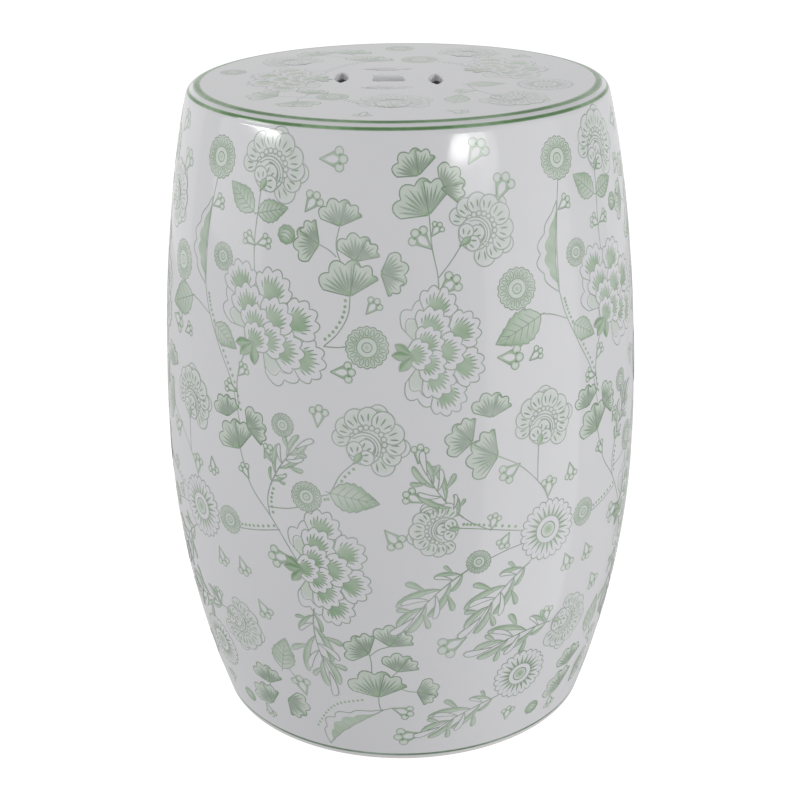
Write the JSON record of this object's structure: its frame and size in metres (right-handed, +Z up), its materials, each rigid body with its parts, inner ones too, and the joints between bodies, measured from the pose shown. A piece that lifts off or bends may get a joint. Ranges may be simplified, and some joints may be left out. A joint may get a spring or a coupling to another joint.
{
  "type": "garden stool",
  "caption": "Hollow drum-shaped ceramic garden stool with a swelling barrel, flat pierced seat, coin cut-out, green printed flowers and painted lines.",
  "frame": {"origin": "on the floor under the stool's axis, at the underside of the pads", "axes": "+Z up along the stool's axis, -Y towards the front of the picture, +X to its right"},
  "size_m": [0.338, 0.3378, 0.457],
  "materials": {
    "printed_glaze": "glossy white glaze with a sage-green printed pattern and painted lines",
    "foot_glaze": "glossy white glaze with a green line, wiped bare under the foot",
    "raw_clay": "unglazed fired clay, smoothed by finger",
    "pad_rubber": "matt moulded rubber"
  },
  "bodies": {
    "root": {"barrel_wall": "printed_glaze", "seat_slab": "printed_glaze", "foot_ring": "foot_glaze", "seat_luting_coil": "raw_clay", "foot_luting_coil": "raw_clay", "floor_pad_1": "pad_rubber", "floor_pad_2": "pad_rubber", "floor_pad_3": "pad_rubber", "floor_pad_4": "pad_rubber"}
  },
  "joints": []
}
